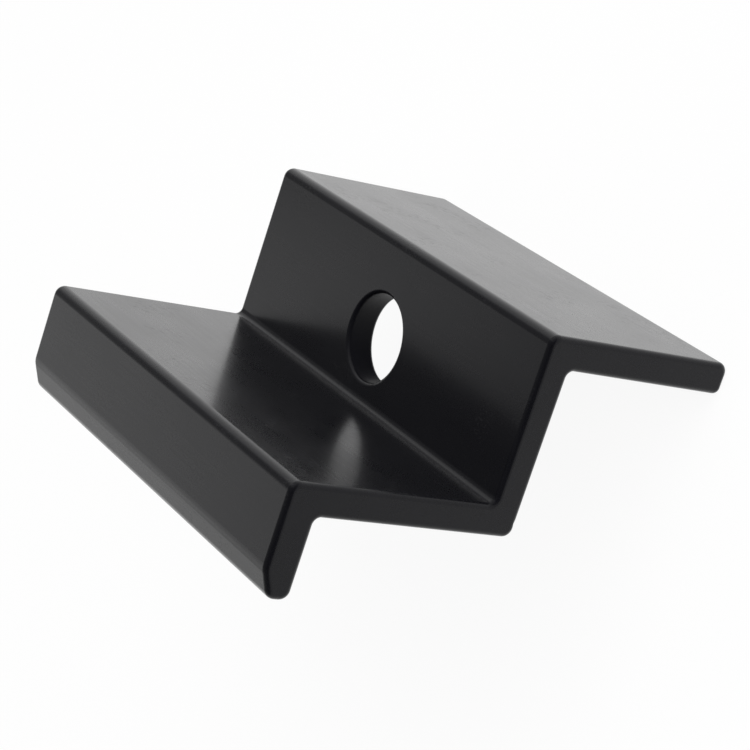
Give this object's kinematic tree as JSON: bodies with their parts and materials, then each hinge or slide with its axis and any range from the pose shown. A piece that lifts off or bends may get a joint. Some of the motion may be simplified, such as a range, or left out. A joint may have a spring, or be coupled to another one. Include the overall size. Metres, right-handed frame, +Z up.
{
  "type": "solar panel end clamp",
  "caption": "Black aluminium end clamp for a solar panel: a stepped extrusion with a lip over the panel's frame, a drilled bolt flange and a leg that stands on the rail.",
  "frame": {"origin": "middle of the bolt hole, on the face that the bolt's head seats on", "axes": "+Z up along the bolt, away from the rail; +Y along the extrusion; +X away from the panel, so the lip points to -X"},
  "size_m": [0.0276, 0.05, 0.0435],
  "materials": {
    "black_anodised": "satin black anodised, fine extrusion lines"
  },
  "bodies": {
    "root": {"end_clamp": "black_anodised"}
  },
  "joints": []
}
